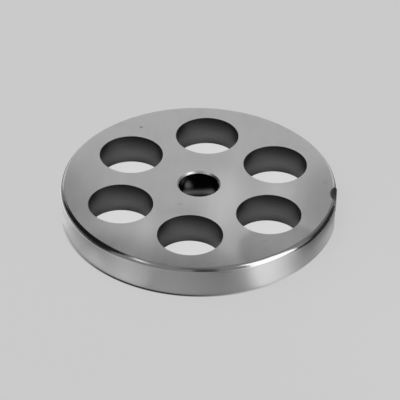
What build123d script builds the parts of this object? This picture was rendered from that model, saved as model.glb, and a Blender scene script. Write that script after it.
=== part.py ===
from build123d import *
import os
from math import sqrt

# Grinding plate of a meat grinder: a ground steel disc with a centre bore,
# six large round holes and a locating notch in its rim.
#
# Frame: millimetres, +Z up, origin on the bore axis at the underside.
# The notch lies on +X, midway between two of the holes.

# ---------------------------------------------------------------- driving dimensions
# The disc
plate_diameter = 82.0
plate_thickness = 9.6

# The centre bore, which runs on the stud of the feed screw
bore_diameter = 12.0
bore_chamfer = 0.45

# The holes that the meat is pressed through
hole_diameter = 19.0
hole_count = 6
hole_circle_diameter = 50.2
hole_back_break = 0.2

# The rim: rounded over at the knife side, a light edge break at the back
shoulder_radius = 1.8
face_grind = 0.12
back_edge_break = 0.3

# The locating notch, cut with a round cutter that stands outside the rim
notch_radius = 5.0
notch_depth = 2.0
notch_edge_break = 0.15

# ---------------------------------------------------------------- derived sizes
plate_radius = plate_diameter / 2
bore_radius = bore_diameter / 2
hole_radius = hole_diameter / 2
hole_circle_radius = hole_circle_diameter / 2
hole_pitch_angle = 360 / hole_count
notch_centre = plate_radius + notch_radius - notch_depth

# The shoulder's arc is tangent to the rim. The face is ground after the arc is turned,
# so the arc ends in a crisp line where it meets the face.
shoulder_height = shoulder_radius - face_grind
shoulder_arc_half_chord = sqrt(shoulder_radius**2 - shoulder_height**2)
face_radius = plate_radius - shoulder_radius + shoulder_arc_half_chord


def turned_disc() -> Part:
    """The disc as it leaves the lathe: a half-section turned about the bore axis."""
    with BuildPart() as disc:
        with BuildSketch(Plane.XZ):
            with BuildLine():
                rim_foot = (plate_radius, back_edge_break)
                rim_top = (plate_radius, plate_thickness - shoulder_height)
                face_edge = (face_radius, plate_thickness)
                Polyline(
                    (bore_radius, bore_chamfer),
                    (bore_radius + bore_chamfer, 0),
                    (plate_radius - back_edge_break, 0),
                    rim_foot,
                    rim_top,
                )
                RadiusArc(rim_top, face_edge, -shoulder_radius)
                Polyline(
                    face_edge,
                    (bore_radius + bore_chamfer, plate_thickness),
                    (bore_radius, plate_thickness - bore_chamfer),
                    (bore_radius, bore_chamfer),
                )
            make_face()
        revolve(axis=Axis.Z)
    return disc.part


def hole_cutter() -> Part:
    """One meat hole: straight and sharp at the knife face, lightly broken at the back."""
    with BuildPart() as cutter:
        with BuildSketch(Plane.XZ):
            with BuildLine():
                Polyline(
                    (0, 0),
                    (hole_radius + hole_back_break, 0),
                    (hole_radius, hole_back_break),
                    (hole_radius, plate_thickness),
                    (0, plate_thickness),
                    close=True,
                )
            make_face()
        revolve(axis=Axis.Z)
    return cutter.part


def notch_cutter() -> Part:
    """The round cutter of the locating notch, flared at both ends by its edge break."""
    flare = notch_radius + notch_edge_break
    with BuildPart() as cutter:
        with BuildSketch(Plane.XZ):
            with BuildLine():
                Polyline(
                    (0, 0),
                    (flare, 0),
                    (notch_radius, notch_edge_break),
                    (notch_radius, plate_thickness - notch_edge_break),
                    (flare, plate_thickness),
                    (0, plate_thickness),
                    close=True,
                )
            make_face()
        revolve(axis=Axis.Z)
    return cutter.part


def grinding_plate() -> Part:
    """The finished plate: the disc with its ring of holes and its notch."""
    plate = turned_disc()
    for place in PolarLocations(hole_circle_radius, hole_count, start_angle=hole_pitch_angle / 2):
        plate -= place * hole_cutter()
    plate -= Pos(notch_centre, 0, 0) * notch_cutter()
    return plate


plate = grinding_plate()
plate.label = "plate"

os.makedirs("parts", exist_ok=True)
export_step(plate, "parts/plate.step")

print(f"volume {plate.volume / 1000:.2f} cm3, size {plate.bounding_box().size}")
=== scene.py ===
"""Looks of a meat grinder's plate: ground faces, a polished rounded rim and reamed holes.

The plate lies on a pale studio floor. Lengths are in metres unless a name or a note says
millimetres. The origin is on the bore axis at the underside, with +Z towards the knife face and
+X through the locating notch.
"""

import logging
import math
from collections.abc import Sequence
from dataclasses import dataclass, field
from enum import Enum

import bmesh
import bpy
import numpy as np
from mathutils import Matrix, Vector


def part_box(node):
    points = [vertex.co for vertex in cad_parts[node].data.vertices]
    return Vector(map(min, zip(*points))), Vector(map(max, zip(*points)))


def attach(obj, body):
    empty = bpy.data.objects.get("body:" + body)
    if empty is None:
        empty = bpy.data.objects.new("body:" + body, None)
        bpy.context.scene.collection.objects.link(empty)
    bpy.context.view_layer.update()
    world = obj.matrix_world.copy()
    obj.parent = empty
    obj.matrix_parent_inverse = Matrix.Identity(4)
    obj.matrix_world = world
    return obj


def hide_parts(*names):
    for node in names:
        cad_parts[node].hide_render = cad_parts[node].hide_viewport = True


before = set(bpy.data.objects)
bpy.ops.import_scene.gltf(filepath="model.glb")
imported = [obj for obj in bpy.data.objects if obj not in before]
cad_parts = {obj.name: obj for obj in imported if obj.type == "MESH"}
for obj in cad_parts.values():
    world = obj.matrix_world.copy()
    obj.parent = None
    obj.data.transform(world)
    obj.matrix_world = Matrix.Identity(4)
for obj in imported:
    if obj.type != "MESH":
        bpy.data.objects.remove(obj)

log = logging.getLogger("grinder_plate")

MM = 0.001
NODE = "plate"
BODY = "root"
PIECE = "grinding_plate"

Socket = bpy.types.NodeSocket
Ring = list[bmesh.types.BMVert]


class Zone(Enum):
    """The plate's surfaces by how they were finished. The value is the material's index."""

    GROUND_FACE = 0
    TURNED_WALL = 1
    POLISHED_SHOULDER = 2
    MILLED_NOTCH = 3
    REAMED_HOLE = 4
    STUD_BORE = 5
    BORE_CHAMFER = 6
    BACK_EDGE = 7


# ------------------------------------------------------------------------- shader nodes


class Blend(Enum):
    """How a value moves from one number to another, by the map range node's name for it."""

    EVEN = "LINEAR"
    SOFT = "SMOOTHSTEP"


@dataclass(frozen=True)
class Patch:
    """A soft-edged oval, seen from above, where a surface's value differs.

    Attributes:
        x: Its centre along the notch's axis, in millimetres.
        y: Its centre across that axis, in millimetres.
        width: Half its width, in millimetres.
        length: Half its length, in millimetres.
        turn: Its turn, in degrees.
        gain: How much it adds to the value at its middle.
        edge: Share of its half-width over which it fades.
    """

    x: float
    y: float
    width: float
    length: float
    turn: float
    gain: float
    edge: float = 1.0


class Shading:
    """A small helper that adds nodes to one material and joins them up."""

    # Half the height of an oval's column, in millimetres, which is far more than the plate's.
    column: float = 1000.0

    def __init__(self, name: str) -> None:
        """Starts an empty node tree.

        Args:
            name: The material's name.
        """
        self.material = bpy.data.materials.new(name)
        self.material.use_nodes = True
        self.tree = self.material.node_tree
        self.tree.nodes.clear()
        self.output = self.tree.nodes.new("ShaderNodeOutputMaterial")

    def add(self, kind: str, **settings: object) -> bpy.types.Node:
        """Adds a node.

        Args:
            kind: The node's type without the leading "ShaderNode".
            **settings: Values of the node's own properties.

        Returns:
            The new node.
        """
        node = self.tree.nodes.new("ShaderNode" + kind)
        for key, value in settings.items():
            setattr(node, key, value)
        return node

    def link(self, source: Socket, target: Socket) -> None:
        """Joins an output socket to an input socket."""
        self.tree.links.new(source, target)

    def place(self) -> Socket:
        """Finds the point on the object.

        Returns:
            A vector socket, in millimetres from the bore axis at the underside.
        """
        coordinates = self.add("TexCoord")
        scale = self.add("VectorMath", operation="SCALE")
        scale.inputs["Scale"].default_value = 1 / MM
        self.link(coordinates.outputs["Object"], scale.inputs[0])
        return scale.outputs["Vector"]

    def height(self, place: Socket) -> Socket:
        """Takes the height out of a point.

        Args:
            place: The point, in millimetres.

        Returns:
            A value socket, in millimetres above the underside.
        """
        parts = self.add("SeparateXYZ")
        self.link(place, parts.inputs["Vector"])
        return parts.outputs["Z"]

    def noise(self, place: Socket, size: tuple[float, float, float], detail: float) -> Socket:
        """Noise whose grains have a given size.

        Args:
            place: The point, in millimetres.
            size: Size of a grain along X, Y and Z, in millimetres.
            detail: Octaves of finer grain.

        Returns:
            A value socket, about -0.5 to 0.5.
        """
        stretch = self.add("VectorMath", operation="DIVIDE")
        stretch.inputs[1].default_value = size
        self.link(place, stretch.inputs[0])
        grain = self.add("TexNoise")
        grain.inputs["Scale"].default_value = 1.0
        grain.inputs["Detail"].default_value = detail
        self.link(stretch.outputs["Vector"], grain.inputs["Vector"])
        return self.scaled(grain.outputs["Fac"], 1.0, -0.5)

    def scaled(self, value: Socket, gain: float, offset: float = 0.0) -> Socket:
        """Multiplies a value and adds to it.

        Args:
            value: The value socket.
            gain: What it is multiplied by.
            offset: What is added afterwards.

        Returns:
            A value socket.
        """
        sums = self.add("Math", operation="MULTIPLY_ADD")
        sums.inputs[1].default_value = gain
        sums.inputs[2].default_value = offset
        self.link(value, sums.inputs[0])
        return sums.outputs["Value"]

    def combined(self, operation: str, first: Socket, second: Socket) -> Socket:
        """Puts two values together.

        Args:
            operation: The math node's operation.
            first: A value socket.
            second: Another.

        Returns:
            A value socket.
        """
        node = self.add("Math", operation=operation)
        self.link(first, node.inputs[0])
        self.link(second, node.inputs[1])
        return node.outputs["Value"]

    def sum(self, first: Socket, second: Socket) -> Socket:
        """Adds two values."""
        return self.combined("ADD", first, second)

    def product(self, first: Socket, second: Socket) -> Socket:
        """Multiplies two values."""
        return self.combined("MULTIPLY", first, second)

    def ramp(
        self,
        value: Socket,
        low: float,
        high: float,
        first: float,
        last: float,
        blend: Blend = Blend.EVEN,
    ) -> Socket:
        """Blends from one number to another while a value grows, and stays within the two.

        Args:
            value: The value socket.
            low: Where the blend starts.
            high: Where it ends.
            first: The result at the start.
            last: The result at the end.
            blend: How it moves between them.

        Returns:
            A value socket.
        """
        node = self.add("MapRange", interpolation_type=blend.value)
        numbers = {"From Min": low, "From Max": high, "To Min": first, "To Max": last}
        for name, number in numbers.items():
            node.inputs[name].default_value = number
        self.link(value, node.inputs["Value"])
        return node.outputs["Result"]

    def oval(self, place: Socket, patch: Patch) -> Socket:
        """A soft-edged oval, the same at every height.

        Args:
            place: The point, in millimetres.
            patch: The oval.

        Returns:
            A value socket, the patch's gain at its middle and 0 outside it.
        """
        mapping = self.add("Mapping", vector_type="TEXTURE")
        mapping.inputs["Location"].default_value = (patch.x, patch.y, 0.0)
        mapping.inputs["Rotation"].default_value = (0.0, 0.0, math.radians(patch.turn))
        mapping.inputs["Scale"].default_value = (patch.width, patch.length, self.column)
        self.link(place, mapping.inputs["Vector"])
        distance = self.add("VectorMath", operation="LENGTH")
        self.link(mapping.outputs["Vector"], distance.inputs[0])
        value = distance.outputs["Value"]
        return self.ramp(value, 1.0, 1.0 - patch.edge, 0.0, patch.gain, Blend.SOFT)


def grey(level: float) -> tuple[float, float, float, float]:
    """An opaque grey, where a level of 1 is white."""
    return (level, level, level, 1.0)


def on_circle(radius: float, angle: float, height: float = 0.0) -> Vector:
    """A point on a circle round the bore axis, with its angle in radians from +X."""
    return Vector((radius * math.cos(angle), radius * math.sin(angle), height))


# ------------------------------------------------------------------------- finishes


@dataclass(frozen=True)
class PaintedShade:
    """Painted shade: how a hole's wall darkens along its height.

    Attributes:
        start: Height in millimetres where it starts to darken.
        stop: Height in millimetres where it is darkest.
        share: The tone's share there.
    """

    start: float
    stop: float
    share: float


@dataclass(frozen=True)
class SteelFinish:
    """Steel with fine tool marks.

    Attributes:
        name: The material's name.
        tone: Linear grey of the steel.
        roughness: Mean roughness.
        finest: Least roughness, where the steel is most burnished.
        metallic: Share of the light that it mirrors; the finest scratches scatter the rest.
        anisotropy: How far the tool marks stretch a reflection.
        lay: Turn of the stretch from round the axis, as a share of a full turn.
        mark_stretch: Size of the tool marks in millimetres along X, Y and Z.
        mark_depth: How much the marks change the roughness.
        mark_relief: Height of the marks, in millimetres.
        mark_detail: Octaves of finer marks.
        blotch_stretch: Size of the blotches in millimetres along X, Y and Z.
        blotch_depth: How much broad, faint blotches change the roughness.
        blotch_detail: Octaves of finer blotches.
        tone_swing: Share by which the tone rises where the steel is finest and falls where it is
        roughest; on the face's ovals this paints sheen and shade.
        tone_reach: How far the roughness has to be from its mean for that.
        patches: Where the finish is duller (above zero) or burnished (below zero); as the tone
        follows, they also paint shade and sheen.
        specks: Small dark stains, whose gain is the share of the tone that they take.
        painted_shade: How the tone darkens along a hole, as painted shade.
    """

    name: str
    tone: float
    roughness: float
    finest: float = 0.0
    metallic: float = 1.0
    anisotropy: float = 0.0
    lay: float = 0.25
    mark_stretch: tuple[float, float, float] = (4.0, 4.0, 0.3)
    mark_depth: float = 0.06
    mark_relief: float = 0.0
    mark_detail: float = 4.0
    blotch_stretch: tuple[float, float, float] = (7.0, 9.0, 9.0)
    blotch_depth: float = 0.05
    blotch_detail: float = 3.0
    tone_swing: float = 0.3
    tone_reach: float = 0.35
    patches: tuple[Patch, ...] = ()
    specks: tuple[Patch, ...] = ()
    painted_shade: PaintedShade | None = None

    def worn_roughness(self, shading: Shading, place: Socket, marks: Socket) -> Socket:
        """The roughness with its marks, blotches and patches.

        Args:
            shading: The material's nodes.
            place: The point, in millimetres.
            marks: The tool marks' value.

        Returns:
            A value socket.
        """
        blotches = shading.noise(place, self.blotch_stretch, self.blotch_detail)
        roughness = shading.scaled(marks, self.mark_depth, self.roughness)
        roughness = shading.sum(roughness, shading.scaled(blotches, self.blotch_depth))
        for patch in self.patches:
            roughness = shading.sum(roughness, shading.oval(place, patch))
        return roughness

    def shaded_tone(self, shading: Shading, place: Socket, roughness: Socket) -> Socket:
        """The tone, lighter where the steel is finer, with painted shade along a hole and stains.

        Args:
            shading: The material's nodes.
            place: The point, in millimetres.
            roughness: The roughness at that point.

        Returns:
            A value socket.
        """
        # Following the roughness, the tone also paints sheen and shade where the face's ovals lie.
        tone = shading.ramp(
            roughness,
            self.roughness - self.tone_reach,
            self.roughness + self.tone_reach,
            (1 + self.tone_swing) * self.tone,
            (1 - self.tone_swing) * self.tone,
        )
        if self.painted_shade:
            height = shading.height(place)
            share = shading.ramp(height, self.painted_shade.start, self.painted_shade.stop, 1.0, self.painted_shade.share)
            tone = shading.product(tone, share)
        for speck in self.specks:
            tone = shading.product(tone, shading.scaled(shading.oval(place, speck), -1.0, 1.0))
        return tone

    def material(self) -> bpy.types.Material:
        """Makes the finish.

        Returns:
            The material.
        """
        shading = Shading(self.name)
        steel = shading.add("BsdfPrincipled")
        steel.inputs["Metallic"].default_value = self.metallic
        steel.inputs["Anisotropic"].default_value = self.anisotropy
        steel.inputs["Anisotropic Rotation"].default_value = self.lay
        if self.anisotropy > 0:
            tangent = shading.add("Tangent", direction_type="RADIAL", axis="Z")
            shading.link(tangent.outputs["Tangent"], steel.inputs["Tangent"])
        place = shading.place()
        marks = shading.noise(place, self.mark_stretch, self.mark_detail)
        roughness = self.worn_roughness(shading, place, marks)
        held = shading.ramp(roughness, self.finest, 1.0, self.finest, 1.0)
        shading.link(held, steel.inputs["Roughness"])
        tone = self.shaded_tone(shading, place, roughness)
        shading.link(tone, steel.inputs["Base Color"])
        if self.mark_relief > 0:
            bump = shading.add("Bump")
            bump.inputs["Strength"].default_value = 1.0
            bump.inputs["Distance"].default_value = self.mark_relief * MM
            shading.link(marks, bump.inputs["Height"])
            shading.link(bump.outputs["Normal"], steel.inputs["Normal"])
        shading.link(steel.outputs["BSDF"], shading.output.inputs["Surface"])
        return shading.material


# Where the knife face is duller (a gain above zero) or burnished (below zero). As the tone
# follows the roughness, they also paint shade where the gain is above zero and sheen below it.
FACE_SHADE_AND_SHEEN = (
    Patch(0.0, -44.0, 46.0, 24.0, 0.0, 0.35),
    Patch(8.0, -9.5, 11.0, 22.0, 3.0, -0.14),
    Patch(8.5, 3.0, 9.0, 16.0, 0.0, -0.02),
    Patch(24.0, 0.0, 9.0, 9.0, 0.0, -0.07),
    Patch(27.0, -29.0, 14.2, 14.5, 0.0, 0.16, 0.25),
    Patch(11.5, -31.0, 5.0, 9.0, 0.0, -0.09),
    Patch(-40.0, -17.0, 22.0, 36.0, 12.0, 0.22),
    Patch(-25.0, -33.0, 13.0, 11.0, 0.0, 0.16),
    Patch(-13.0, -23.0, 5.0, 13.0, 0.0, -0.08),
    Patch(-2.0, -14.0, 8.0, 6.0, 0.0, 0.06),
    Patch(38.0, -6.0, 13.0, 32.0, 0.0, 0.2),
)

# Small stains on the knife face.
FACE_SPECKS = (
    Patch(-20.5, 27.2, 0.75, 0.75, 0.0, 0.6, 0.9),
    Patch(-4.6, -10.6, 1.6, 0.9, 20.0, 0.12),
    Patch(21.5, -25.6, 1.4, 0.8, 0.0, 0.12),
    Patch(37.2, 5.2, 0.9, 1.4, 0.0, 0.12),
)

FINISHES = {
    Zone.GROUND_FACE: SteelFinish(
        "ground_face",
        tone=0.6,
        roughness=0.41,
        finest=0.285,
        metallic=0.86,
        mark_stretch=(2.2, 14.0, 50.0),
        mark_depth=0.07,
        blotch_depth=0.08,
        patches=FACE_SHADE_AND_SHEEN,
        specks=FACE_SPECKS,
    ),
    Zone.TURNED_WALL: SteelFinish(
        "turned_wall",
        tone=0.62,
        roughness=0.36,
        anisotropy=0.85,
        mark_stretch=(14.0, 14.0, 0.25),
        mark_relief=0.002,
        blotch_depth=0.08,
    ),
    Zone.POLISHED_SHOULDER: SteelFinish(
        "polished_shoulder",
        tone=0.6,
        roughness=0.15,
        mark_stretch=(6.0, 6.0, 0.4),
        mark_depth=0.05,
        blotch_depth=0.02,
    ),
    # The notch's low tone paints the shade in its hollow.
    Zone.MILLED_NOTCH: SteelFinish(
        "milled_notch",
        tone=0.35,
        roughness=0.42,
        mark_stretch=(0.35, 0.35, 7.0),
        mark_depth=0.16,
        mark_relief=0.006,
    ),
    # The meat hole's low tone, and its darkening towards the knife face, paint the shade inside it.
    Zone.REAMED_HOLE: SteelFinish(
        "reamed_hole",
        tone=0.34,
        roughness=0.25,
        mark_stretch=(5.0, 5.0, 0.45),
        mark_depth=0.16,
        mark_relief=0.02,
        blotch_depth=0.1,
        painted_shade=PaintedShade(2.5, 10.5, 0.2),
    ),
    # The bore's low tone, and its darkening towards the underside, paint the shade inside it.
    Zone.STUD_BORE: SteelFinish(
        "stud_bore", tone=0.3, roughness=0.12, mark_depth=0.04, painted_shade=PaintedShade(2.5, 1.2, 0.3)
    ),
    # The chamfer's near-white tone paints a highlight on it.
    Zone.BORE_CHAMFER: SteelFinish("bore_chamfer", tone=0.98, roughness=0.36, mark_depth=0.04),
    Zone.BACK_EDGE: SteelFinish("back_edge", tone=0.5, roughness=0.3),
}


# ------------------------------------------------------------------------- the plate


@dataclass(frozen=True)
class Level:
    """One height of the rim's outline.

    Attributes:
        radius: The rim's radius at this height.
        notch_radius: The locating notch's radius at this height.
        height: Height above the underside.
    """

    radius: float
    notch_radius: float
    height: float


@dataclass(frozen=True)
class Opening:
    """A round hole through the plate, in millimetres.

    Attributes:
        x: Its axis along the notch's axis.
        y: Its axis across that.
        radius: Its radius.
    """

    x: float
    y: float
    radius: float


@dataclass
class GrindingPlate:
    """The plate as one closed mesh, with a material for each finished zone.

    Attributes:
        radius: The rim's radius.
        thickness: From the underside to the knife face.
        bore_radius: The stud bore's radius.
        bore_chamfer: Width of the bore's chamfers, and the height of the one at the underside.
        bore_lead: Height of the bore's chamfer at the knife face.
        hole_radius: A meat hole's radius.
        hole_count: How many meat holes there are.
        hole_circle_radius: Radius of the circle that their axes stand on.
        hole_face_break: Chamfer of a hole's sharp edge at the knife face.
        hole_back_break: Chamfer of its edge at the underside.
        shoulder_radius: Radius of the rounded shoulder.
        face_grind: How much the face's grinding took off the shoulder's height.
        back_edge_break: Width and height of the rim's edge break at the underside.
        notch_radius: Radius of the notch's cutter.
        notch_depth: How deep the notch cuts into the rim.
        notch_edge_break: Chamfer of the notch's edges.
        rim_segments: Steps round the rim.
        notch_segments: Steps round the notch.
        hole_segments: Steps round a hole.
        shoulder_segments: Steps over the shoulder.
        crease_angle: The least angle between two faces that is shaded as an edge.
        shell: The mesh while it is built.
    """

    radius: float
    thickness: float
    bore_radius: float = 6.0 * MM
    bore_chamfer: float = 0.45 * MM
    bore_lead: float = 0.53 * MM
    hole_radius: float = 9.5 * MM
    hole_count: int = 6
    hole_circle_radius: float = 25.1 * MM
    hole_face_break: float = 0.05 * MM
    hole_back_break: float = 0.2 * MM
    shoulder_radius: float = 1.8 * MM
    face_grind: float = 0.12 * MM
    back_edge_break: float = 0.3 * MM
    notch_radius: float = 5.0 * MM
    notch_depth: float = 2.0 * MM
    notch_edge_break: float = 0.15 * MM
    rim_segments: int = 480
    notch_segments: int = 40
    hole_segments: int = 160
    shoulder_segments: int = 14
    crease_angle: float = math.radians(18)
    shell: bmesh.types.BMesh = field(default_factory=bmesh.new)

    @property
    def notch_centre(self) -> float:
        """Distance from the bore axis to the axis of the notch's cutter."""
        return self.radius + self.notch_radius - self.notch_depth

    def back_edge(self) -> list[tuple[float, float]]:
        """The (radius, height) pairs of the rim's edge break, from the underside up."""
        foot, lip = self.radius - self.back_edge_break, self.notch_edge_break
        return [(foot, 0.0), (foot + lip, lip), (self.radius, self.back_edge_break)]

    def shoulder(self) -> list[tuple[float, float]]:
        """The rounded shoulder's section.

        Returns:
            (radius, height) pairs from the rim's straight wall up to the knife face.
        """
        rise = self.shoulder_radius - self.face_grind
        last = math.asin(rise / self.shoulder_radius)
        foot = self.thickness - rise
        centre = self.radius - self.shoulder_radius
        section = []
        for i in range(self.shoulder_segments + 1):
            angle = last * i / self.shoulder_segments
            out, up = self.shoulder_radius * math.cos(angle), self.shoulder_radius * math.sin(angle)
            section.append((centre + out, foot + up))
        return section

    def levels(self) -> list[Level]:
        """The rim's outlines, with the notch's edges broken at both faces.

        Returns:
            The levels from the underside to the knife face.
        """
        found = []
        for radius, height in self.back_edge() + self.shoulder():
            near_end = min(height, self.thickness - height)
            flare = max(0.0, self.notch_edge_break - near_end)
            found.append(Level(radius, self.notch_radius + flare, height))
        return found

    def outline(self, level: Level) -> list[Vector]:
        """The rim at one height, with the notch cut out of it.

        Args:
            level: The height and the radii there.

        Returns:
            Points counter-clockwise, first round the rim and then into the notch.
        """
        axis, cut, rim = self.notch_centre, level.notch_radius, level.radius
        lip = math.acos((rim**2 + axis**2 - cut**2) / (2 * rim * axis))
        mouth = math.acos((axis**2 + cut**2 - rim**2) / (2 * axis * cut))
        points = []
        for i in range(self.rim_segments):
            angle = lip + (2 * math.pi - 2 * lip) * i / self.rim_segments
            points.append(on_circle(rim, angle, level.height))
        for i in range(self.notch_segments):
            angle = math.pi + mouth - 2 * mouth * i / self.notch_segments
            x, y = axis + cut * math.cos(angle), cut * math.sin(angle)
            points.append(Vector((x, y, level.height)))
        return points

    def ring(self, points: list[Vector]) -> Ring:
        """Adds a closed ring of points to the shell and returns its vertices."""
        return [self.shell.verts.new(point) for point in points]

    def skin(self, low: Ring, high: Ring, zones: list[Zone]) -> None:
        """Covers the strip between two rings of equal length with quads.

        Args:
            low: The ring that the quads start from.
            high: The ring that they end on.
            zones: The finish of each quad.
        """
        for i, zone in enumerate(zones):
            j = (i + 1) % len(zones)
            quad = self.shell.faces.new((low[i], low[j], high[j], high[i]))
            quad.material_index = zone.value

    def build_rim(self) -> tuple[Ring, Ring]:
        """Builds the edge break, the straight wall, the shoulder and the notch.

        Returns:
            The rings at the underside and at the knife face.
        """
        rings = [self.ring(self.outline(level)) for level in self.levels()]
        strips = [Zone.BACK_EDGE] * 2 + [Zone.TURNED_WALL]
        strips += [Zone.POLISHED_SHOULDER] * self.shoulder_segments
        notch = [Zone.MILLED_NOTCH] * self.notch_segments
        for low, high, zone in zip(rings, rings[1:], strips):
            self.skin(low, high, [zone] * self.rim_segments + notch)
        return rings[0], rings[-1]

    def build_hole(
        self, centre: Vector, section: list[tuple[float, float]], strips: Sequence[Zone]
    ) -> tuple[Ring, Ring]:
        """Builds the wall of a round hole.

        Args:
            centre: A point on the hole's axis at the underside.
            section: (radius, height) pairs from the underside up.
            strips: The finish between each pair and the next.

        Returns:
            The rings at the underside and at the knife face.
        """
        angles = [2 * math.pi * i / self.hole_segments for i in range(self.hole_segments)]
        rings = []
        for radius, height in section:
            rings.append(self.ring([centre + on_circle(radius, angle, height) for angle in angles]))
        for low, high, zone in zip(rings, rings[1:], strips):
            self.skin(high, low, [zone] * self.hole_segments)
        return rings[0], rings[-1]

    def hole_section(self) -> list[tuple[float, float]]:
        """A meat hole's section, near sharp at the knife face and broken at the back.

        Returns:
            (radius, height) pairs from the underside up.
        """
        radius, top = self.hole_radius, self.thickness
        back, face = self.hole_back_break, self.hole_face_break
        return [(radius + back, 0.0), (radius, back), (radius, top - face), (radius + face, top)]

    def bore_section(self) -> list[tuple[float, float]]:
        """The stud bore's section, with its two chamfers.

        Returns:
            (radius, height) pairs from the underside up.
        """
        radius, top = self.bore_radius, self.thickness
        mouth, lead = radius + self.bore_chamfer, top - self.bore_lead
        return [(mouth, 0.0), (radius, self.bore_chamfer), (radius, lead), (mouth, top)]

    def hole_centres(self) -> list[Vector]:
        """The meat holes' axes, the first half a step round from the notch.

        Returns:
            A point on each axis at the underside.
        """
        angles = [2 * math.pi * (i + 0.5) / self.hole_count for i in range(self.hole_count)]
        return [on_circle(self.hole_circle_radius, angle) for angle in angles]

    def openings(self) -> tuple[Opening, ...]:
        """The bore and then the meat holes."""
        spots, radius = self.hole_centres(), self.hole_radius / MM
        holes = [Opening(spot.x / MM, spot.y / MM, radius) for spot in spots]
        return (Opening(0.0, 0.0, self.bore_radius / MM), *holes)

    def fill_face(self, rings: Sequence[Ring], up: bool) -> None:
        """Closes a flat face between its outline and its holes.

        Args:
            rings: The outline's ring and each hole's ring at that face.
            up: True for the knife face and False for the underside.
        """
        edges = []
        for ring in rings:
            for ends in zip(ring, ring[1:] + ring[:1]):
                edges.append(self.shell.edges.get(ends))
        made = bmesh.ops.triangle_fill(self.shell, use_beauty=True, edges=edges)
        for face in made["geom"]:
            if isinstance(face, bmesh.types.BMFace):
                face.material_index = Zone.GROUND_FACE.value
                face.normal_update()
                if (face.normal.z > 0) != up:
                    face.normal_flip()

    def build(self) -> bpy.types.Object:
        """Builds the plate.

        Returns:
            The plate's object, with smooth shading broken at its creases.
        """
        bore_strips = (Zone.BORE_CHAMFER, Zone.STUD_BORE, Zone.BORE_CHAMFER)
        hole_strips = (Zone.REAMED_HOLE,) * len(bore_strips)
        walls = [self.build_rim(), self.build_hole(Vector(), self.bore_section(), bore_strips)]
        for centre in self.hole_centres():
            walls.append(self.build_hole(centre, self.hole_section(), hole_strips))
        backs, faces = zip(*walls)
        self.fill_face(backs, up=False)
        self.fill_face(faces, up=True)
        mesh = bpy.data.meshes.new(PIECE)
        self.shell.to_mesh(mesh)
        self.shell.free()
        mesh.shade_smooth()
        mesh.set_sharp_from_angle(angle=self.crease_angle)
        plate = bpy.data.objects.new(PIECE, mesh)
        bpy.context.scene.collection.objects.link(plate)
        return plate

    def dress(self, plate: bpy.types.Object) -> None:
        """Gives each zone of the built plate its finish."""
        for zone in Zone:
            plate.data.materials.append(FINISHES[zone].material())


# ------------------------------------------------------------------------- the studio


@dataclass(frozen=True)
class StudioCamera:
    """A long lens that looks down on the plate.

    Attributes:
        azimuth: Turn round +Z from looking along +Y, in degrees.
        elevation: Angle above the horizon, in degrees.
        roll: Clockwise turn of the view, in degrees.
        distance: Depth of the knife face's centre in front of the lens.
        aside: How far the knife face's centre lies right of the lens axis.
        above: How far it lies above the lens axis.
        lens: Focal length, in millimetres.
        sensor: Width of the sensor, in millimetres.
        clip: The nearest and the farthest that it sees.
    """

    azimuth: float = 5.22
    elevation: float = 36.5
    roll: float = 0.94
    distance: float = 688.995 * MM
    aside: float = -0.33 * MM
    above: float = 4.80 * MM
    lens: float = 209.27
    sensor: float = 36.0
    clip: tuple[float, float] = (0.01, 50.0)

    def set_up(self, target: Vector) -> bpy.types.Object:
        """Makes the camera and points it.

        Args:
            target: The centre of the knife face.

        Returns:
            The camera's object.
        """
        azimuth, elevation = math.radians(self.azimuth), math.radians(self.elevation)
        flat = math.cos(elevation)
        right = on_circle(1.0, azimuth)
        back = Vector((flat * math.sin(azimuth), -flat * math.cos(azimuth), math.sin(elevation)))
        up = back.cross(right)
        tilt = Matrix.Rotation(math.radians(self.roll), 3, back)
        right, up = tilt @ right, tilt @ up
        data = bpy.data.cameras.new("camera")
        data.lens = self.lens
        data.sensor_width = self.sensor
        data.clip_start, data.clip_end = self.clip
        camera = bpy.data.objects.new("camera", data)
        turn = Matrix((right, up, back)).transposed().to_4x4()
        spot = target - right * self.aside - up * self.above + back * self.distance
        camera.matrix_world = Matrix.Translation(spot) @ turn
        bpy.context.scene.collection.objects.link(camera)
        bpy.context.scene.camera = camera
        return camera


@dataclass(frozen=True)
class Standing:
    """Something upright that faces the plate from one side of the studio.

    Attributes:
        name: The object's name.
        start: Azimuth of its first side, in degrees from the camera's right, counter-clockwise.
        stop: Azimuth of its other side.
        low: Elevation of its lower edge, in degrees.
        high: Elevation of its upper edge, in degrees.
        level: How bright it looks from the plate, where 1 is white.
        distance: How far it stands from the bore axis.
        lean: How far its head leans towards its first side, in degrees.
    """

    name: str
    start: float
    stop: float
    low: float
    high: float
    level: float
    distance: float = 1.2
    lean: float = 0.0

    def placing(self, turn: float) -> tuple[Matrix, float, float]:
        """Works out where it stands and its size.

        Args:
            turn: The camera's azimuth, in degrees.

        Returns:
            The place, with the local -Z towards the bore axis, and the width and the height.
        """
        middle = math.radians((self.start + self.stop) / 2 + turn)
        width = 2 * self.distance * math.tan(math.radians(self.stop - self.start) / 2)
        foot = self.distance * math.tan(math.radians(self.low))
        head = self.distance * math.tan(math.radians(self.high))
        out = on_circle(1.0, middle)
        side = Vector((0, 0, 1)).cross(out)
        lean = Matrix.Rotation(math.radians(self.lean), 3, "Z")
        place = (Matrix((side, out.cross(side), out)).transposed() @ lean).to_4x4()
        place.translation = out * self.distance + Vector((0, 0, (foot + head) / 2))
        return place, width, head - foot


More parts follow.
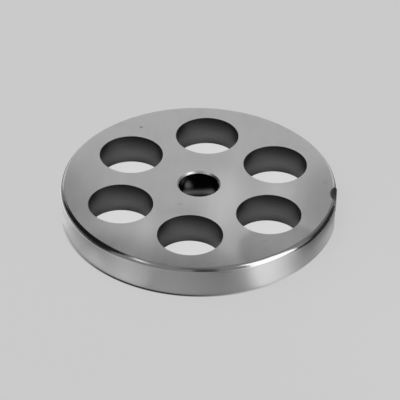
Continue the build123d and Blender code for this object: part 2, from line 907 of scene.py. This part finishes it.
@dataclass(frozen=True)
class Softbox(Standing):
    """A lamp with an even front, which the steel mirrors."""

    def set_up(self, turn: float) -> bpy.types.Object:
        """Stands the softbox in its place.

        Args:
            turn: The camera's azimuth, in degrees.

        Returns:
            The lamp's object.
        """
        place, width, height = self.placing(turn)
        data = bpy.data.lights.new(self.name, "AREA")
        data.shape = "RECTANGLE"
        data.size, data.size_y = width, height
        data.energy = self.level * math.pi * width * height
        lamp = bpy.data.objects.new(self.name, data)
        lamp.matrix_world = place
        lamp.visible_camera = False
        bpy.context.scene.collection.objects.link(lamp)
        return lamp


@dataclass(frozen=True)
class Flag(Standing):
    """A dark card, which only reflections see."""

    def set_up(self, turn: float) -> bpy.types.Object:
        """Stands the card in its place.

        Args:
            turn: The camera's azimuth, in degrees.

        Returns:
            The card's object.
        """
        place, width, height = self.placing(turn)
        signs = ((-1, -1), (1, -1), (1, 1), (-1, 1))
        corners = [place @ Vector((x * width / 2, y * height / 2, 0)) for x, y in signs]
        return card(self.name, corners, [(0, 1, 2, 3)], [self.level] * len(corners))


def card(
    name: str,
    corners: Sequence[Sequence[float]],
    faces: Sequence[tuple[int, ...]],
    tones: Sequence[float],
) -> bpy.types.Object:
    """Makes a card that only reflections see.

    Args:
        name: The object's name.
        corners: Its corners, in metres.
        faces: The corners of each face, by number.
        tones: How bright each corner looks, where 1 is white.

    Returns:
        The card's object.
    """
    mesh = bpy.data.meshes.new(name)
    mesh.from_pydata(corners, [], faces)
    shade = mesh.attributes.new("shade", "FLOAT", "POINT")
    shade.data.foreach_set("value", tones)
    shading = Shading(name)
    tone = shading.add("Attribute", attribute_name="shade")
    glow = shading.add("Emission")
    shading.link(tone.outputs["Fac"], glow.inputs["Color"])
    shading.link(glow.outputs["Emission"], shading.output.inputs["Surface"])
    mesh.materials.append(shading.material)
    made = bpy.data.objects.new(name, mesh)
    made.visible_camera = False
    made.visible_diffuse = False
    made.visible_shadow = False
    made.visible_transmission = False
    bpy.context.scene.collection.objects.link(made)
    return made


@dataclass(frozen=True)
class Skirt:
    """A ring of paper on the floor round the plate, which only reflections see.

    Its tones are painted shade and light.

    Attributes:
        name: The object's name.
        outer: Its outer radius, in millimetres.
        height: Its height above the floor, in millimetres.
        stops: (azimuth, inner radius, tone), with the azimuth in degrees from the camera's right,
            counter-clockwise, the radius in millimetres and the tone 1 for white.
        closed: Whether it goes all the way round and not just between its first and last stops.
        steps: How many flat pieces a full turn has.
    """

    name: str
    outer: float
    height: float
    stops: tuple[tuple[float, float, float], ...]
    closed: bool = True
    steps: int = 180

    def at(self, azimuth: float) -> tuple[float, float]:
        """Blends the paper's stops.

        Args:
            azimuth: Where, in degrees from the camera's right, counter-clockwise.

        Returns:
            The inner radius, in millimetres, and the tone.
        """
        azimuths, radii, tones = zip(*self.stops)
        radius, tone = (np.interp(azimuth, azimuths, each, period=360) for each in (radii, tones))
        return float(radius), float(tone)

    def set_up(self, turn: float) -> bpy.types.Object:
        """Lays the paper.

        Args:
            turn: The camera's azimuth, in degrees.

        Returns:
            The paper's object.
        """
        spots, shades = [], []
        for i in range(self.steps):
            azimuth = 360 * i / self.steps - 180
            angle = math.radians(azimuth + turn)
            inner, tone = self.at(azimuth)
            for radius in (inner * MM, self.outer * MM):
                spots.append(on_circle(radius, angle, self.height * MM))
                shades.append(tone)
        strips = [(i, (i + 1) % self.steps) for i in range(self.steps)]
        if not self.closed:
            ends = (self.stops[0][0], self.stops[-1][0])
            first, last = ((end + 180) * self.steps / 360 for end in ends)
            strips = [(i, j) for i, j in strips if first <= i < last]
        quads = [(2 * i, 2 * i + 1, 2 * j + 1, 2 * j) for i, j in strips]
        return card(self.name, spots, quads, shades)


@dataclass(frozen=True)
class FillLamp:
    """A square lamp that faces the plate and that reflections don't show.

    Attributes:
        name: The object's name.
        azimuth: Where it hangs, in degrees from the camera's right, counter-clockwise.
        elevation: How high, in degrees above the horizon.
        level: How bright it would look, where 1 is white.
        side: The length of its sides.
        reach: How far it hangs from the bore axis at the underside.
    """

    name: str
    azimuth: float
    elevation: float
    level: float
    side: float = 0.9
    reach: float = 1.3

    def set_up(self, turn: float) -> bpy.types.Object:
        """Hangs the lamp.

        Args:
            turn: The camera's azimuth, in degrees.

        Returns:
            The lamp's object.
        """
        azimuth, elevation = math.radians(turn + self.azimuth), math.radians(self.elevation)
        out = on_circle(math.cos(elevation), azimuth, math.sin(elevation))
        data = bpy.data.lights.new(self.name, "AREA")
        data.size = self.side
        data.energy = self.level * math.pi * self.side**2
        lamp = bpy.data.objects.new(self.name, data)
        facing = out.to_track_quat("Z", "Y").to_matrix().to_4x4()
        lamp.matrix_world = Matrix.Translation(out * self.reach) @ facing
        lamp.visible_camera = False
        lamp.visible_glossy = False
        bpy.context.scene.collection.objects.link(lamp)
        return lamp


@dataclass(frozen=True)
class Pool:
    """Painted light or shade on the floor under a hole, with its lengths in hole radii.

    Attributes:
        aside: How far its centre lies to the camera's right of the hole's axis.
        away: How far it lies beyond that axis.
        spread: Its radius.
        gain: How much it adds to the floor's mirrored tone at its middle.
    """

    aside: float
    away: float
    spread: float
    gain: float

    def under(self, opening: Opening, turn: float) -> Patch:
        """Lays the pool under a hole.

        Args:
            opening: The hole.
            turn: The camera's azimuth, in degrees.

        Returns:
            A soft oval, in millimetres.
        """
        angle = math.radians(turn)
        right, far = self.aside * opening.radius, self.away * opening.radius
        x = opening.x + right * math.cos(angle) - far * math.sin(angle)
        y = opening.y + right * math.sin(angle) + far * math.cos(angle)
        radius = self.spread * opening.radius
        return Patch(x, y, radius, radius, 0.0, self.gain)


@dataclass(frozen=True)
class Floor:
    """A pale paper floor, which the camera sees almost even and the steel mirrors with painted
    shade.

    Attributes:
        openings: The plate's holes, of which the first is the bore.
        tone: Linear tone of the paper.
        half_side: Half the length of its sides.
        evenness: Share of the camera's view of it that shadows leave alone.
        lift: Share by which that view is lighter under the plate, as painted light.
        mirrored: How bright the steel mirrors it beside the plate.
        mirrored_under: How bright the steel mirrors it under the plate, a painted shadow.
        covered: What the plate covers.
        contact_ring: Two discs that leave the thin dark ring at the plate's foot between them, a
        painted contact shadow.
        contact_side: The side of the plate where that ring shows.
        bore_shade: The painted shade under the bore.
        bore_pools: The painted light under the bore.
        hole_pools: The painted light and shade under each meat hole.
    """

    openings: tuple[Opening, ...]
    tone: float = 0.597
    half_side: float = 4.0
    evenness: float = 0.9
    lift: float = 0.22
    mirrored: float = 0.6
    mirrored_under: float = 0.14
    covered: Patch = Patch(0.0, 0.0, 41.0, 41.0, 0.0, 1.0, 0.012)
    contact_ring: tuple[Patch, Patch] = (
        Patch(-0.06, -0.1, 41.45, 41.45, 0.0, 1.0, 0.009),
        Patch(0.0, 0.0, 40.6, 40.6, 0.0, -1.0, 0.01),
    )
    contact_side: Patch = Patch(-16.0, -48.0, 54.0, 42.0, 0.0, -1.0, 0.75)
    bore_shade: Patch = Patch(0.0, 0.0, 12.0, 12.0, 0.0, -0.135, 0.3)
    bore_pools: tuple[Pool, ...] = (Pool(-0.05, 0.6, 0.42, 0.5), Pool(0.6, 0.35, 0.5, 0.5))
    hole_pools: tuple[Pool, ...] = (Pool(0.2, 0.45, 1.02, 0.38), Pool(0.3, 0.93, 0.65, -0.2))

    def pools(self, turn: float) -> list[Patch]:
        """The painted light under the holes and the painted shade beside it.

        Args:
            turn: The camera's azimuth, in degrees.

        Returns:
            The soft ovals under the bore and then under each hole.
        """
        bore, *holes = self.openings
        made = [pool.under(bore, turn) for pool in self.bore_pools]
        return made + [pool.under(hole, turn) for hole in holes for pool in self.hole_pools]

    def paper(self, turn: float) -> bpy.types.Material:
        """Makes the paper.

        Args:
            turn: The camera's azimuth, in degrees.

        Returns:
            The material.
        """
        shading = Shading("floor_paper")
        shaded = shading.add("BsdfDiffuse")
        shaded.inputs["Color"].default_value = grey(self.tone)
        even = shading.add("Emission")
        even.inputs["Color"].default_value = grey(self.tone)
        path = shading.add("LightPath")
        mirror_ray = path.outputs["Is Glossy Ray"]
        direct_ray = shading.sum(path.outputs["Is Camera Ray"], path.outputs["Is Transmission Ray"])
        place = shading.place()
        under = shading.oval(place, self.covered)
        ring = shading.sum(*(shading.oval(place, disc) for disc in self.contact_ring))
        painted_contact_shadow = shading.product(ring, shading.oval(place, self.contact_side))
        contact = shading.scaled(painted_contact_shadow, 1.0, 1.0)
        mirrored = shading.scaled(under, self.mirrored_under - self.mirrored, self.mirrored)
        for patch in (self.bore_shade, *self.pools(turn)):
            mirrored = shading.sum(mirrored, shading.oval(place, patch))
        direct = shading.scaled(under, self.lift, 1.0)
        strength = shading.sum(
            shading.product(mirror_ray, shading.product(mirrored, contact)),
            shading.product(direct_ray, shading.product(direct, contact)),
        )
        shading.link(strength, even.inputs["Strength"])
        share = shading.sum(mirror_ray, shading.scaled(direct_ray, self.evenness))
        mix = shading.add("MixShader")
        shading.link(share, mix.inputs["Fac"])
        shading.link(shaded.outputs["BSDF"], mix.inputs[1])
        shading.link(even.outputs["Emission"], mix.inputs[2])
        shading.link(mix.outputs["Shader"], shading.output.inputs["Surface"])
        return shading.material

    def set_up(self, turn: float) -> bpy.types.Object:
        """Lays the floor.

        Args:
            turn: The camera's azimuth, in degrees.

        Returns:
            The floor's object.
        """
        end = self.half_side
        corners = [(-end, -end, 0), (end, -end, 0), (end, end, 0), (-end, end, 0)]
        mesh = bpy.data.meshes.new("floor")
        mesh.from_pydata(corners, [], [(0, 1, 2, 3)])
        mesh.materials.append(self.paper(turn))
        floor = bpy.data.objects.new("floor", mesh)
        bpy.context.scene.collection.objects.link(floor)
        return floor


FILLS = (
    FillLamp("back_fill", 130, 55, 2.6),
    FillLamp("front_fill", -120, 35, 4.0),
)
SOFTBOXES = (
    Softbox("right_softbox", -56.5, -23, 0.5, 49, 1.4, 0.11),
    Softbox("back_panel", 55, 108, 2, 42, 0.53),
    Softbox("left_back_panel", 108, 131, 1, 20, 0.5),
    Softbox("left_kicker", -161, -146, 35, 65, 0.95, lean=28),
)
FLAGS = (
    Flag("left_flag", 142, 203, 0.3, 62, 0.012, 0.6),
    Flag("left_high_flag", 132, 144, 29, 62, 0.02, 0.61),
    Flag("right_low_flag", 2, 37, 0.3, 15.5, 0.015, 0.6),
    Flag("right_flag", 2, 37.5, 14, 38, 0.16, 0.62),
    Flag("front_flag", 252, 289, 42, 70, 0.14, 0.6),
    Flag("front_low_flag", 267, 285, 4, 46, 0.06, 0.62),
)
# The paper close round the plate: its inner radius in millimetres and its tones by azimuth.
# The tones are painted shade and light.
NEAR_EDGE = 41.35
NEAR_TONES = (
    (-170, 1.1), (-163, 0.78), (-157, 0.7), (-150, 0.64), (-142, 0.76),
    (-132, 0.7), (-122, 0.8), (-115, 0.68), (-110, 0.44), (-100, 0.46),
    (-90, 0.42), (-80, 0.35), (-72, 0.36), (-68, 0.46), (-62, 0.98),
    (-55, 0.98), (-49, 0.8), (-43, 0.52), (-38, 0.48), (-31, 0.5),
    (-24, 0.62), (-17, 0.75), (-8, 0.7), (10, 0.78), (150, 0.9),
)
# The paper farther away: azimuth, inner radius in millimetres and tone, the tone being painted
# shade and light.
FAR_STOPS = (
    (-176, 54.0, 0.25), (-165, 54.0, 0.06), (-150, 52.0, 0.04), (-143, 51.0, 0.25),
    (-132, 52.0, 0.65), (-117, 52.0, 0.45), (-103, 52.0, 0.38), (-90, 52.0, 0.34),
    (-76, 52.0, 0.24), (-66, 52.0, 0.5), (-61, 52.0, 1.0), (-50, 52.0, 1.05),
    (-38, 49.0, 0.7), (-33, 48.0, 0.2), (-28, 46.9, 0.03), (-20, 46.8, 0.03),
    (-10, 46.0, 0.03), (0, 45.5, 0.03), (30, 45.5, 0.04), (60, 44.0, 0.6),
    (150, 50.0, 0.6), (165, 50.0, 0.8), (174, 54.0, 0.45),
)
# Painted shade and light on the floor: behind the notch, on the left, close round the plate
# and farther away.
SKIRTS = (
    Skirt("notch_skirt", 62.0, 0.3, ((8, 42.5, 0.85), (120, 42.5, 0.85)), closed=False),
    Skirt("left_skirt", 600.0, 0.3, ((128, 65.0, 0.2), (180, 65.0, 0.2)), closed=False),
    Skirt("near_skirt", 54.0, 0.1, tuple((where, NEAR_EDGE, tone) for where, tone in NEAR_TONES)),
    Skirt("far_skirt", 600.0, 0.2, FAR_STOPS),
)


@dataclass(frozen=True)
class Studio:
    """The floor, the surroundings and the lights.

    Attributes:
        turn: The camera's azimuth, in degrees.
        floor: What the plate lies on.
        surround: How bright the room looks in the steel.
        fills: The lamps that reflections don't show.
        softboxes: The lamps that the steel mirrors.
        flags: The dark cards that give the steel its dark edges.
        skirts: The paper on the floor with painted shade and light.
    """

    turn: float
    floor: Floor
    surround: float = 0.27
    fills: tuple[FillLamp, ...] = FILLS
    softboxes: tuple[Softbox, ...] = SOFTBOXES
    flags: tuple[Flag, ...] = FLAGS
    skirts: tuple[Skirt, ...] = SKIRTS

    def room(self) -> None:
        """Sets the world: the floor's tone for the camera and a dim room for everything else."""
        world = bpy.data.worlds.new("studio")
        world.use_nodes = True
        tree = world.node_tree
        back = tree.nodes["Background"]
        path = tree.nodes.new("ShaderNodeLightPath")
        tone = tree.nodes.new("ShaderNodeMapRange")
        tone.inputs["To Min"].default_value = self.surround
        tone.inputs["To Max"].default_value = self.floor.tone
        tree.links.new(path.outputs["Is Camera Ray"], tone.inputs["Value"])
        tree.links.new(tone.outputs["Result"], back.inputs["Strength"])
        back.inputs["Color"].default_value = grey(1.0)
        bpy.context.scene.world = world

    def set_up(self) -> None:
        """Lays the floor, sets the world and stands everything else round the plate."""
        self.floor.set_up(self.turn)
        self.room()
        for item in (*self.fills, *self.softboxes, *self.flags, *self.skirts):
            item.set_up(self.turn)
        bpy.context.scene.view_settings.view_transform = "Standard"


def main() -> None:
    """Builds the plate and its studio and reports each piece."""
    logging.basicConfig(level=logging.INFO)
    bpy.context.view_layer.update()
    low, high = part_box(NODE)
    maker = GrindingPlate(radius=high.y, thickness=high.z - low.z)
    plate = maker.build()
    maker.dress(plate)
    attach(plate, BODY)
    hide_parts(NODE)
    log.info("%s: %d faces", plate.name, len(plate.data.polygons))
    eye = StudioCamera()
    eye.set_up(Vector((0, 0, high.z)))
    Studio(eye.azimuth, Floor(maker.openings())).set_up()


if __name__ == "__main__":
    main()
